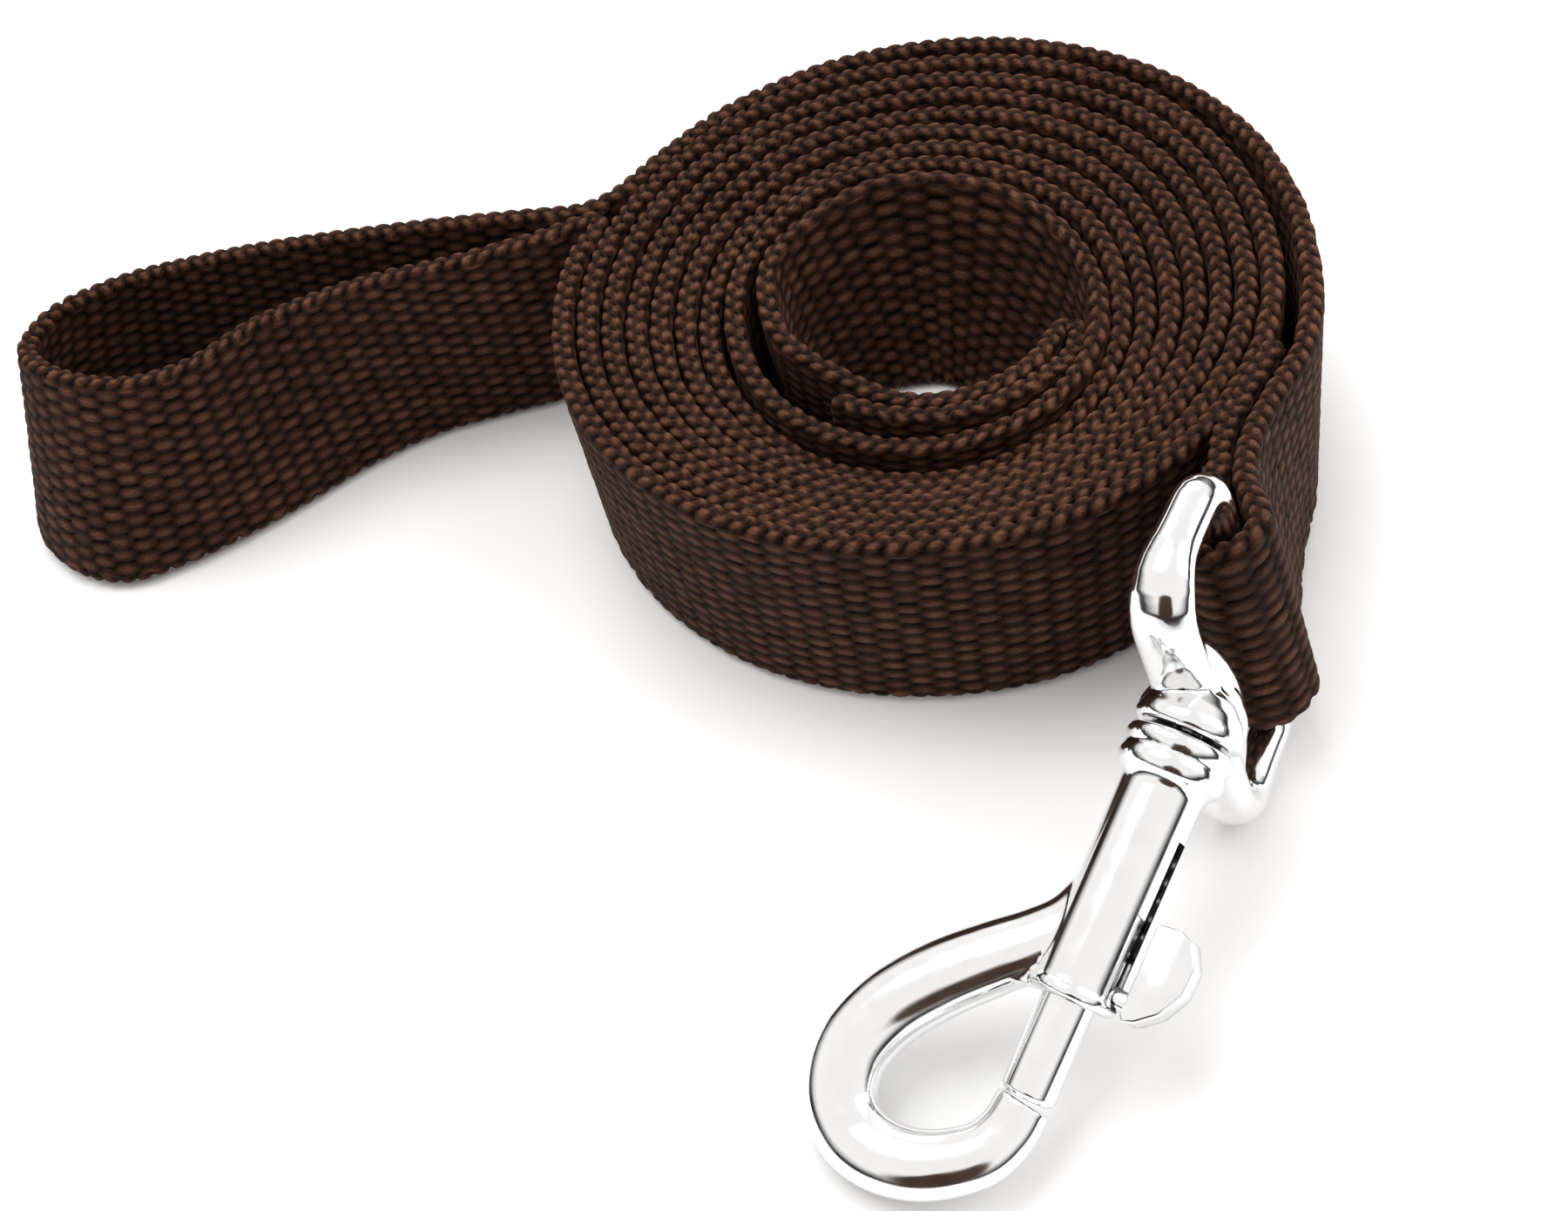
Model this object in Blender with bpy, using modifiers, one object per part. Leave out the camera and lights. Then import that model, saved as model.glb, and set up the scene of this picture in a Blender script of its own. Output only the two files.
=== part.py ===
"""Training leash: a long flat webbing strap, wound into a standing coil, with a hand loop at one end
and a swivelling bolt snap at the other. Millimetre values are multiplied by MM; +Z is up. Everything is
modelled about the coil's centre on the floor, and moved at the end so that the origin is the middle of
the footprint."""

import math

import bmesh
import bpy
from mathutils import Matrix, Vector

MM = 0.001
GAP = 0.3 * MM  # left between pieces that touch
COIL_CENTRE = Vector((36.75, 27.41, 0.0)) * MM  # from the middle of the footprint

# Webbing
WEB_WIDTH = 25.0 * MM
WEB_THICK = 2.6 * MM

# Coil of the strap's spare length
COIL_OUTER_R = 40.7 * MM
COIL_INNER_R = 16.0 * MM

# Swivel: the shank's ball head turns in a seat at the barrel's end
SWIVEL_CENTRE = Vector((14.95, -65.5, 18.5)) * MM
EYE_HEADING = math.radians(60.7)  # from the ball towards the strap
EYE_LEAN = math.radians(-13.0)  # the eye's bar leans over the coil
BARREL_HEADING = math.radians(-125.2)
BARREL_DROOP = math.radians(22.5)

# Eye, measured along its own axis from the ball's centre
BALL_R = 2.7 * MM
NECK_R = 1.4 * MM
FLANGE_X = 5.2 * MM
FLANGE_R = 4.6 * MM
EYE_BASE_X = 6.9 * MM
EYE_DEPTH = 13.2 * MM
EYE_HALF = 16.6 * MM
EYE_WIRE_R = 2.15 * MM
EYE_CORNER_R = 5.0 * MM
STRAP_RISE = -0.5 * MM  # where the strap sits along the bar, from its middle

# Snap body, measured along the barrel's axis from the ball's centre
COLLAR_X = -3.5 * MM
COLLAR_R = 5.1 * MM
BARREL_R = 3.8 * MM
BARREL_END_X = 21.8 * MM
BORE_R = 2.9 * MM
SEAT_X = -2.2 * MM
SLOT_START_X = 5.3 * MM
SLOT_END_X = 21.1 * MM
SLOT_HALF = 1.3 * MM
HOOK_R = 3.05 * MM
HOOK_TIP_R = 2.55 * MM
HOOK_FLATTEN = 0.82
HOOK_TIP_X = 31.3 * MM

# Bolt
BOLT_R = 2.5 * MM
BOLT_REAR_X = 16.2 * MM
STEM_R = 1.0 * MM
STEM_X = 19.9 * MM
THUMB_THICK = 4.4 * MM

# Spring behind the bolt
SPRING_R = 2.2 * MM
SPRING_WIRE_R = 0.3 * MM
SPRING_TURNS = 7

# Thread
THREAD_R = 0.35 * MM

PARTS = "training_leash"
CUTTERS = "cutters"


# ---------------------------------------------------------------- scene and materials


def clear_scene():
    for obj in list(bpy.data.objects):
        bpy.data.objects.remove(obj, do_unlink=True)
    for name in (PARTS, CUTTERS):
        if name in bpy.data.collections:
            bpy.data.collections.remove(bpy.data.collections[name])
        collection = bpy.data.collections.new(name)
        bpy.context.scene.collection.children.link(collection)


def material(name, colour, roughness, metallic):
    mat = bpy.data.materials.new(name)
    mat.use_nodes = True
    shader = mat.node_tree.nodes["Principled BSDF"]
    shader.inputs["Base Color"].default_value = (*colour, 1.0)
    shader.inputs["Roughness"].default_value = roughness
    shader.inputs["Metallic"].default_value = metallic
    return mat


def make_materials():
    return {
        "webbing": material("webbing", (0.055, 0.026, 0.018), 0.65, 0.0),
        "thread": material("thread", (0.04, 0.018, 0.012), 0.7, 0.0),
        "chrome": material("chrome", (0.86, 0.86, 0.87), 0.07, 1.0),
        "spring_steel": material("spring_steel", (0.55, 0.55, 0.57), 0.3, 1.0),
    }


def move_to(obj, collection):
    for owner in list(obj.users_collection):
        owner.objects.unlink(obj)
    bpy.data.collections[collection].objects.link(obj)


def finish(obj, mat):
    """Files a part and gives it its material."""
    move_to(obj, PARTS)
    obj.data.materials.clear()
    obj.data.materials.append(mat)
    obj.data.shade_smooth()
    obj.data.set_sharp_from_angle(angle=math.radians(35))
    return obj


def empty(name, matrix):
    obj = bpy.data.objects.new(name, None)
    obj.empty_display_size = 0.01
    obj.matrix_world = matrix
    bpy.data.collections[PARTS].objects.link(obj)
    return obj


def frame_at(origin, heading, droop, roll):
    """A frame whose X points along the heading, drooped below the horizon and rolled about itself."""
    turn = Matrix.Rotation(heading, 4, "Z") @ Matrix.Rotation(droop, 4, "Y") @ Matrix.Rotation(roll, 4, "X")
    return Matrix.Translation(origin) @ turn


# ---------------------------------------------------------------- modelling helpers


def mesh_object(name, bm):
    mesh = bpy.data.meshes.new(name)
    bmesh.ops.recalc_face_normals(bm, faces=bm.faces)
    bm.to_mesh(mesh)
    bm.free()
    obj = bpy.data.objects.new(name, mesh)
    bpy.data.collections[PARTS].objects.link(obj)
    return obj


def smooth_path(points, per_span=6):
    """Points on a Catmull-Rom curve through the given vectors."""
    pts = [points[0] * 2 - points[1], *points, points[-1] * 2 - points[-2]]
    path = []
    for i in range(1, len(pts) - 2):
        p0, p1, p2, p3 = pts[i - 1 : i + 3]
        for k in range(per_span):
            t = k / per_span
            path.append(
                0.5
                * (
                    2 * p1
                    + (p2 - p0) * t
                    + (2 * p0 - 5 * p1 + 4 * p2 - p3) * t**2
                    + (3 * p1 - p0 - 3 * p2 + p3) * t**3
                )
            )
    path.append(points[-1].copy())
    return path


def tube(name, points, radius, cyclic=False, resolution=2, taper=None):
    """A wire through the points, as a mesh with welded caps. taper gives each point's share of radius."""
    curve = bpy.data.curves.new(name, "CURVE")
    curve.dimensions = "3D"
    curve.bevel_depth = radius
    curve.bevel_resolution = resolution
    curve.use_fill_caps = True
    curve.twist_mode = "MINIMUM"
    spline = curve.splines.new("POLY")
    spline.points.add(len(points) - 1)
    for i, point in enumerate(points):
        spline.points[i].co = (*point, 1.0)
        spline.points[i].radius = taper[i] if taper else 1.0
    spline.use_cyclic_u = cyclic
    return mesh_from_curve(name, curve)


def mesh_from_curve(name, curve):
    holder = bpy.data.objects.new(name + "_curve", curve)
    bpy.data.collections[PARTS].objects.link(holder)
    bpy.context.view_layer.update()
    evaluated = holder.evaluated_get(bpy.context.evaluated_depsgraph_get())
    mesh = bpy.data.meshes.new_from_object(evaluated)
    bm = bmesh.new()
    bm.from_mesh(mesh)
    bmesh.ops.remove_doubles(bm, verts=bm.verts, dist=1e-6)
    bpy.data.objects.remove(holder, do_unlink=True)
    return mesh_object(name, bm)


def turned(name, profile, steps=40, closed=True):
    """Turns an outline of (x, r) pairs about X. An open outline starts and ends on the axis."""
    bm = bmesh.new()
    verts = [bm.verts.new((x, 0.0, r)) for x, r in profile]
    pairs = list(zip(verts, verts[1:]))
    if closed:
        pairs.append((verts[-1], verts[0]))
    edges = [bm.edges.new(pair) for pair in pairs]
    bmesh.ops.spin(
        bm, geom=verts + edges, axis=(1, 0, 0), cent=(0, 0, 0), steps=steps, angle=math.tau, use_merge=True
    )
    bmesh.ops.remove_doubles(bm, verts=bm.verts, dist=1e-6)
    return mesh_object(name, bm)


def cylinder_between(name, start, end, radius, segments=32):
    axis = end - start
    bm = bmesh.new()
    bmesh.ops.create_cone(
        bm, cap_ends=True, segments=segments, radius1=radius, radius2=radius, depth=axis.length
    )
    turn = Vector((0, 0, 1)).rotation_difference(axis).to_matrix().to_4x4()
    bmesh.ops.transform(bm, matrix=Matrix.Translation((start + end) / 2) @ turn, verts=bm.verts)
    return mesh_object(name, bm)


def box_between(name, low, high):
    bm = bmesh.new()
    bmesh.ops.create_cube(bm, size=1.0)
    size = Matrix.Diagonal((*[h - l for l, h in zip(low, high)], 1.0))
    centre = (Vector(low) + Vector(high)) / 2
    bmesh.ops.transform(bm, matrix=Matrix.Translation(centre) @ size, verts=bm.verts)
    return mesh_object(name, bm)


def plate(name, outline, thickness, bevel):
    """A flat outline in the XY plane, filled and extruded to its thickness, with rounded edges."""
    curve = bpy.data.curves.new(name, "CURVE")
    curve.dimensions = "2D"
    curve.fill_mode = "BOTH"
    curve.extrude = thickness / 2
    spline = curve.splines.new("POLY")
    spline.points.add(len(outline) - 1)
    for i, (x, y) in enumerate(outline):
        spline.points[i].co = (x, y, 0.0, 1.0)
    spline.use_cyclic_u = True
    obj = mesh_from_curve(name, curve)
    rounding = obj.modifiers.new("rounded_edges", "BEVEL")
    rounding.width = bevel
    rounding.segments = 2
    rounding.limit_method = "ANGLE"
    rounding.angle_limit = math.radians(50)
    apply_modifiers(obj)
    return obj


def ribbon(name, low_rail, high_rail, thickness=WEB_THICK):
    """A strap whose two edges follow the rails, thickened evenly to both sides."""
    bm = bmesh.new()
    low = [bm.verts.new(p) for p in low_rail]
    high = [bm.verts.new(p) for p in high_rail]
    for i in range(len(low) - 1):
        bm.faces.new((low[i], low[i + 1], high[i + 1], high[i]))
    obj = mesh_object(name, bm)
    body = obj.modifiers.new("thickness", "SOLIDIFY")
    body.thickness = thickness
    body.offset = 0.0
    body.use_even_offset = True
    return obj


def combine(obj, tool, operation, solver="EXACT"):
    """A Boolean with a tool that is kept, hidden, among the cutters."""
    boolean = obj.modifiers.new(tool.name, "BOOLEAN")
    boolean.operation = operation
    boolean.solver = solver
    boolean.object = tool
    move_to(tool, CUTTERS)
    tool.hide_render = True
    tool.display_type = "WIRE"


def apply_modifiers(obj):
    bpy.context.view_layer.update()
    evaluated = obj.evaluated_get(bpy.context.evaluated_depsgraph_get())
    mesh = bpy.data.meshes.new_from_object(evaluated)
    obj.modifiers.clear()
    obj.data = mesh


def place(obj, matrix):
    obj.matrix_world = matrix
    return obj


# ---------------------------------------------------------------- webbing


def rail(points, z):
    return [Vector((x, y, z / MM)) * MM for x, y in points]


def make_coil(mats):
    """The wound strap as one turned ring standing on edge."""
    bm = bmesh.new()
    half = WEB_WIDTH / 2
    profile = [
        (COIL_INNER_R, -half),
        (COIL_OUTER_R, -half),
        (COIL_OUTER_R, half),
        (COIL_INNER_R, half),
    ]
    verts = [bm.verts.new((r, 0.0, z)) for r, z in profile]
    for i in range(4):
        bm.edges.new((verts[i], verts[(i + 1) % 4]))
    obj = mesh_object("webbing_coil", bm)
    screw = obj.modifiers.new("turned", "SCREW")
    screw.steps = 96
    screw.render_steps = 96
    screw.use_merge_vertices = True
    screw.merge_threshold = 1e-6
    screw.use_normal_calculate = True
    apply_modifiers(obj)
    bm = bmesh.new()
    bm.from_mesh(obj.data)
    bmesh.ops.recalc_face_normals(bm, faces=bm.faces)
    bm.to_mesh(obj.data)
    bm.free()
    obj.location = (0, 0, half)
    return finish(obj, mats["webbing"])


def make_hand_loop(mats):
    """The hand loop lies pressed flat: a near strand, a splayed left end and a back strand."""
    near_low = [(-40.6, 16.1), (-47.5, 14.9), (-55, 13.6), (-63, 11.8), (-71.3, 8.2), (-79.5, 3)]
    near_high = [(-40.6, 16.2), (-47.5, 15.4), (-55.3, 13.9), (-63, 12.7), (-70.9, 10.9), (-78, 7.9)]
    end_low = [(-86.5, -1.2), (-94, -4.6), (-101, -6.2), (-108, -2.9)]
    end_low += [(-113.2, 4), (-112.5, 13), (-103, 19.6)]
    end_high = [(-84, 3.4), (-90.8, 1.7), (-97.5, 3.4), (-103.5, 7.2)]
    end_high += [(-105.7, 11.5), (-102.8, 16.8), (-95, 20.2)]
    back_low = [(-92, 21.3), (-80, 21.8), (-67.5, 21.5), (-56, 20.8), (-46, 19.8), (-39.3, 19.2)]
    back_high = [(-87, 21.4), (-78, 21.9), (-66.9, 21.6), (-56, 20.9), (-46, 19.9), (-39.3, 19.2)]
    low = smooth_path(rail(near_low + end_low + back_low, 0.7 * MM), 4)
    high = smooth_path(rail(near_high + end_high + back_high, WEB_WIDTH - 0.3 * MM), 4)
    return finish(ribbon("hand_loop", low, high), mats["webbing"])


def fold_rails(bar):
    """The strap's two edges where it runs from the coil, round the eye's bar and back as the tail."""
    low = [(40.2, -4, 0.4), (39.3, -12.7, 0.4), (37.2, -21.6, 0.8)]
    low += [(34.4, -29.4, 2.2), (32.4, -36.8, 3.8), (31.2, -43.6, 5.6)]
    high = [(39.9, -4, 25), (39, -12.3, 25), (36.2, -20.8, 25)]
    high += [(32, -27.2, 25.8), (28.4, -33.6, 27), (26.4, -40, 28.5)]
    radius = EYE_WIRE_R + GAP + WEB_THICK / 2
    up = (bar.to_3x3() @ Vector((0, 0, 1))).normalized()
    ahead = -(bar.to_3x3() @ Vector((1, 0, 0))).normalized()
    side = up.cross(ahead)
    turns = [math.radians(degrees) for degrees in range(0, 181, 20)]
    strap = [[Vector(p) * MM for p in edge] for edge in (low, high)]
    inner = []
    for k in range(2, 6):
        along = (strap[0][k] + strap[1][k] - strap[0][k - 1] - strap[1][k - 1]).normalized()
        inner.append(along.cross((strap[1][k] - strap[0][k]).normalized()) * (WEB_THICK + GAP))
    rails = []
    for edge, sign in zip(strap, (-1, 1)):
        centre = bar.to_translation() + up * (STRAP_RISE + sign * (WEB_WIDTH / 2 - GAP))
        bend = [centre + radius * (side * math.cos(a) + ahead * math.sin(a)) for a in turns]
        past_bar = [end - ahead * 1.6 * MM for end in (bend[0], bend[-1])]
        tail = [edge[k] + inner[k - 2] for k in (5, 4, 3, 2)]
        out = smooth_path([*edge, past_bar[0], bend[0]], 4)
        back = smooth_path([bend[-1], past_bar[1], *tail], 4)
        rails.append(out[:-1] + bend + back[1:])
    return rails


def make_snap_strap(mats, bar):
    low, high = fold_rails(bar)
    obj = ribbon("snap_strap", low, high)
    apply_modifiers(obj)
    clear = cylinder_between(
        "coil_clearance",
        Vector((0, 0, -WEB_WIDTH)),
        Vector((0, 0, 2 * WEB_WIDTH)),
        COIL_OUTER_R + GAP,
        96,
    )
    combine(obj, clear, "DIFFERENCE", "MANIFOLD")
    return finish(obj, mats["webbing"])


def stitch_box(name, centre, along, up, length, height, mats):
    """One run of thread: a box of stitches with a diagonal, lying on the strap's face."""
    corners = [(-1, -1), (1, -1), (1, 1), (-1, 1), (-1, -0.72), (0.86, 0.84)]
    points = []
    for a, b in zip(corners, corners[1:]):
        for k in range(4):
            u, v = Vector(a).lerp(Vector(b), k / 4)
            points.append(centre + along * (u * length / 2) + up * (v * height / 2))
    u, v = corners[-1]
    points.append(centre + along * (u * length / 2) + up * (v * height / 2))
    return finish(tube(name, points, THREAD_R, resolution=1), mats["thread"])


def make_stitching(mats, bar):
    """Boxes of thread where the hand loop closes and where the snap's tail is held."""
    proud = WEB_THICK / 2 + GAP + THREAD_R
    along = Vector((0.99, -0.105, 0)).normalized()
    outward = Vector((-along.y, along.x, 0))
    centre = Vector((-47.2 * MM, 20.6 * MM, WEB_WIDTH / 2)) + outward * proud
    stitch_box("loop_stitching", centre, along, Vector((0, 0, 1)), 9 * MM, 17 * MM, mats)

    low, high = (smooth_path(rail_points[-14:-7], 1) for rail_points in fold_rails(bar))
    middle = (low[3] + high[3]) / 2
    along = (low[6] + high[6] - low[0] - high[0]).normalized()
    up = (high[3] - low[3]).normalized()
    inner = along.cross(up).normalized()
    stitch_box("snap_stitching", middle - inner * (proud + 0.2 * MM), along, up, 5 * MM, 17 * MM, mats)


# ---------------------------------------------------------------- swivel eye


def eye_outline():
    """Centre line of the eye's loop in its own X (axis) and Z (bar) plane, with rounded corners."""
    bar_x = EYE_BASE_X + EYE_DEPTH
    bar_r = EYE_WIRE_R * 1.3
    pivots = [
        (EYE_BASE_X + EYE_CORNER_R, EYE_CORNER_R - EYE_HALF, EYE_CORNER_R),
        (EYE_BASE_X + EYE_CORNER_R, EYE_HALF - EYE_CORNER_R, EYE_CORNER_R),
        (bar_x - bar_r, EYE_HALF - bar_r, bar_r),
        (bar_x - bar_r, bar_r - EYE_HALF, bar_r),
    ]
    points = []
    for corner, (x, z, r) in enumerate(pivots):
        for k in range(6):
            a = math.radians(270 - 90 * corner - 18 * k)
            points.append(Vector((x + r * math.cos(a), 0, z + r * math.sin(a))))
    return points


def make_eye(mats, eye_frame):
    """The eye's loop with its flange, neck and ball head in one casting."""
    loop = tube("swivel_eye", eye_outline(), EYE_WIRE_R, cyclic=True, resolution=4)
    neck_end = math.degrees(math.asin(NECK_R / BALL_R))
    angles = [math.radians(neck_end + (180 - neck_end) * k / 10) for k in range(10)]
    head = [(BALL_R * math.cos(a), BALL_R * math.sin(a)) for a in angles]
    profile = [
        (EYE_BASE_X + EYE_WIRE_R * 0.6, 0.0),
        (EYE_BASE_X + EYE_WIRE_R * 0.6, 2.6 * MM),
        (EYE_BASE_X - 0.6 * MM, 3.9 * MM),
        (FLANGE_X + 0.7 * MM, FLANGE_R),
        (FLANGE_X, FLANGE_R - 0.3 * MM),
        (FLANGE_X, NECK_R),
        *head,
        (-BALL_R, 0.0),
    ]
    shank = turned("eye_shank", profile, closed=False)
    combine(loop, shank, "UNION")
    apply_modifiers(loop)
    place(loop, eye_frame)
    return finish(loop, mats["chrome"])


# ---------------------------------------------------------------- snap body


def barrel_profile():
    """Outer line of the barrel from the collar to its mouth, then back along the bore."""
    outer = [
        (COLLAR_X, 4.3 * MM),
        (COLLAR_X + 0.35 * MM, 4.85 * MM),
        (COLLAR_X + 1.0 * MM, COLLAR_R),
        (COLLAR_X + 1.7 * MM, 4.85 * MM),
        (COLLAR_X + 2.0 * MM, 4.45 * MM),
        (COLLAR_X + 2.3 * MM, 4.8 * MM),
        (COLLAR_X + 3.0 * MM, 5.0 * MM),
        (COLLAR_X + 3.8 * MM, 4.75 * MM),
        (COLLAR_X + 4.4 * MM, 4.1 * MM),
        (COLLAR_X + 5.0 * MM, BARREL_R),
        (BARREL_END_X - 1.3 * MM, BARREL_R),
        (BARREL_END_X - 0.9 * MM, 4.15 * MM),
        (BARREL_END_X - 0.3 * MM, 4.1 * MM),
        (BARREL_END_X, 3.7 * MM),
    ]
    inner = [
        (BARREL_END_X, BORE_R),
        (-1.2 * MM, BORE_R),
        (-1.2 * MM, 3.5 * MM),
        (SEAT_X, 3.5 * MM),
        (SEAT_X, 2.7 * MM),
        (COLLAR_X, 3.3 * MM),
    ]
    return outer + inner


def hook_path():
    """Centre line of the hook, from the barrel's side round to the tip that meets the bolt, and the
    thickness of its wire at each point as a share of HOOK_R."""
    points = [
        (16.0, -2.4, 0.95),
        (18.6, -5.0, 1.05),
        (21.3, -7.9, 1.12),
        (24.9, -11.5, 1.18),
        (29.3, -14.8, 1.21),
        (34.0, -16.4, 1.21),
        (38.0, -15.6, 1.18),
        (40.5, -12.9, 1.12),
        (41.0, -9.4, 1.08),
        (39.9, -5.6, 1.02),
        (37.2, -1.9, 0.94),
        (34.4, -0.4, 0.88),
        (31.3, 0.0, HOOK_TIP_R / HOOK_R),
    ]
    path = smooth_path([Vector((x, y, 0)) * MM for x, y, _ in points], 4)
    share = smooth_path([Vector((s, 0, 0)) for _, _, s in points], 4)
    return path, [max(HOOK_TIP_R / HOOK_R, s.x) for s in share]


def make_snap_body(mats, snap_frame):
    body = turned("snap_body", barrel_profile(), 48)
    path, taper = hook_path()
    hook = tube("hook_wire", path, HOOK_R, resolution=6, taper=taper)
    for vertex in hook.data.vertices:
        vertex.co.z *= HOOK_FLATTEN
    web = plate(
        "hook_web",
        [(13.6 * MM, -3.0 * MM), (17.4 * MM, -5.4 * MM), (22.6 * MM, -7.0 * MM), (21.5 * MM, -3.0 * MM)],
        3.4 * MM,
        0.6 * MM,
    )
    bore = cylinder_between(
        "bore_clearance", Vector((8 * MM, 0, 0)), Vector((HOOK_TIP_X - GAP, 0, 0)), BORE_R * 1.01, 48
    )
    slot = box_between(
        "thumb_slot", (SLOT_START_X, 0, -SLOT_HALF), (SLOT_END_X, 6 * MM, SLOT_HALF)
    )
    for tool, operation in ((hook, "UNION"), (web, "UNION"), (bore, "DIFFERENCE"), (slot, "DIFFERENCE")):
        combine(body, tool, operation)
    apply_modifiers(body)
    place(body, snap_frame)
    return finish(body, mats["chrome"])


def make_seat_washer(mats, snap_frame):
    profile = [
        (-1.9 * MM, 3.2 * MM),
        (-1.5 * MM, 3.2 * MM),
        (-1.5 * MM, 2.55 * MM),
        (-1.9 * MM, 2.55 * MM),
    ]
    washer = turned("seat_washer", profile)
    place(washer, snap_frame)
    return finish(washer, mats["spring_steel"])


# ---------------------------------------------------------------- bolt


def make_plunger(mats, snap_frame):
    front = HOOK_TIP_X - GAP
    profile = [
        (BOLT_REAR_X, 0.0),
        (BOLT_REAR_X, BOLT_R - 0.3 * MM),
        (BOLT_REAR_X + 0.3 * MM, BOLT_R),
        (front - 0.4 * MM, BOLT_R),
        (front, BOLT_R - 0.4 * MM),
        (front, 0.0),
    ]
    plunger = turned("bolt_plunger", profile, closed=False)
    hole = cylinder_between(
        "stem_hole", Vector((STEM_X, 0.6 * MM, 0)), Vector((STEM_X, 4 * MM, 0)), STEM_R + GAP, 24
    )
    combine(plunger, hole, "DIFFERENCE")
    apply_modifiers(plunger)
    place(plunger, snap_frame)
    return finish(plunger, mats["chrome"])


def make_thumb_stud(mats, snap_frame):
    """The thumb piece: a D-shaped plate alongside the barrel on a short stem."""
    outline = [(21.2, 4.9), (21.6, 5.4), (21.2, 6.4), (19.8, 8.0), (17.4, 9.2), (14.9, 9.3), (12.8, 8.2)]
    outline += [(12.3, 7.0), (12.6, 4.9)]
    pad = plate("thumb_stud", [(x * MM, y * MM) for x, y in outline], THUMB_THICK, 0.5 * MM)
    stem = cylinder_between(
        "stem", Vector((STEM_X, 0.9 * MM, 0)), Vector((STEM_X, 6.2 * MM, 0)), STEM_R, 20
    )
    combine(pad, stem, "UNION")
    apply_modifiers(pad)
    place(pad, snap_frame)
    return finish(pad, mats["chrome"])


def make_spring(mats, snap_frame):
    start = 3.15 * MM
    end = BOLT_REAR_X - GAP - SPRING_WIRE_R
    steps = SPRING_TURNS * 14
    points = []
    for i in range(steps + 1):
        share = i / steps
        angle = math.tau * SPRING_TURNS * share
        points.append(
            Vector((start + (end - start) * share, SPRING_R * math.cos(angle), SPRING_R * math.sin(angle)))
        )
    spring = tube("bolt_spring", points, SPRING_WIRE_R, resolution=1)
    place(spring, snap_frame)
    return finish(spring, mats["spring_steel"])


# ---------------------------------------------------------------- assembly


def adopt(parent, *children):
    """Parents the children to an empty that is already in place, keeping where they are."""
    bpy.context.view_layer.update()
    for child in children:
        world = child.matrix_world.copy()
        child.parent = parent
        child.matrix_parent_inverse = parent.matrix_world.inverted()
        child.matrix_world = world


def main():
    clear_scene()
    mats = make_materials()
    eye_frame = frame_at(SWIVEL_CENTRE, EYE_HEADING, 0.0, EYE_LEAN)
    snap_frame = frame_at(SWIVEL_CENTRE, BARREL_HEADING, BARREL_DROOP, 0.0)
    bar_frame = eye_frame @ Matrix.Translation((EYE_BASE_X + EYE_DEPTH, 0, 0))

    make_coil(mats)
    make_hand_loop(mats)
    make_snap_strap(mats, bar_frame)
    make_stitching(mats, bar_frame)

    bar_hinge = empty("eye_bar_hinge", bar_frame)
    swivel = empty("swivel_axis", snap_frame)
    eye = make_eye(mats, eye_frame)
    body = make_snap_body(mats, snap_frame)
    washer = make_seat_washer(mats, snap_frame)
    spring = make_spring(mats, snap_frame)
    plunger = make_plunger(mats, snap_frame)
    stud = make_thumb_stud(mats, snap_frame)
    adopt(bar_hinge, eye, swivel)
    adopt(swivel, body, washer, spring, plunger, stud)

    bpy.context.view_layer.update()
    for obj in bpy.data.objects:  # the cutters move with what they cut
        if obj.parent is None:
            obj.matrix_world = Matrix.Translation(COIL_CENTRE) @ obj.matrix_world


main()
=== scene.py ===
"""Training leash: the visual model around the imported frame.

Shapes are worked out in millimetres about the coil's centre on the floor, which is COIL_CENTRE in the row
frame, and become metres when their meshes are made. The whole strap is one path, from the tail at the snap
round the coil, out to the hand loop and back into the coil; it is cut into a few pieces of webbing."""

import math

import bmesh
import bpy
import numpy as np
from mathutils import Matrix, Vector


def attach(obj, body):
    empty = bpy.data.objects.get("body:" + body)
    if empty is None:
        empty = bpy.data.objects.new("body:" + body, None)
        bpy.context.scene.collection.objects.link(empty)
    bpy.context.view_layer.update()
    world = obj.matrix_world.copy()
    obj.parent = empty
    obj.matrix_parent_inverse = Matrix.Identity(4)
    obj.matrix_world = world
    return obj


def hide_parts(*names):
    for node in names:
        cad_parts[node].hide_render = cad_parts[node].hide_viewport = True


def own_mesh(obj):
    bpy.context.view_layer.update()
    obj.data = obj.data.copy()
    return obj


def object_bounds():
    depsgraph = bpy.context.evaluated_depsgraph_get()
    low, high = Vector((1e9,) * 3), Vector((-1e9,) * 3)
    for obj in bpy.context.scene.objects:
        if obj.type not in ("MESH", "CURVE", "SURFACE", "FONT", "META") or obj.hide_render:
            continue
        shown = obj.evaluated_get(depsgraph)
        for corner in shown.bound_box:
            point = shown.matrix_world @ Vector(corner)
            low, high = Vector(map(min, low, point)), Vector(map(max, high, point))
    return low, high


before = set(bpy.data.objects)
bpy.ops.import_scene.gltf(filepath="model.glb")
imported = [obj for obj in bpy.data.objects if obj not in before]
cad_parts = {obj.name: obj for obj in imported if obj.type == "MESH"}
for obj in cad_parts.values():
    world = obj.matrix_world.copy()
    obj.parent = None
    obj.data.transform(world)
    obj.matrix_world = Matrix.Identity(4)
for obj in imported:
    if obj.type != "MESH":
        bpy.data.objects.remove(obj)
cad_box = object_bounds()

MM = 0.001
COIL_CENTRE = np.array([36.75, 27.41, 0.0])

# Webbing
WIDTH = 25.0
HALF_THICK = 1.3
ROW = 1.74  # across the strap, from one row of floats to the next
COLUMN = 2.5  # along the strap, from one column of floats to the next
FLOAT_RISE = 0.48
EDGE_RISE = 0.68
EDGE_PITCH = 2.0
EDGE_ROUND = 0.9
EDGE_CROWN = 0.75  # how far the edge swells, as a share of its rounding
STEP = 0.36  # along the strap, from one cross-section to the next
FOOT = 0.35  # height of the strap's lower edge, clear of the floor by the relief of its selvedge
LOOP_FOOT = 0.7

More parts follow.
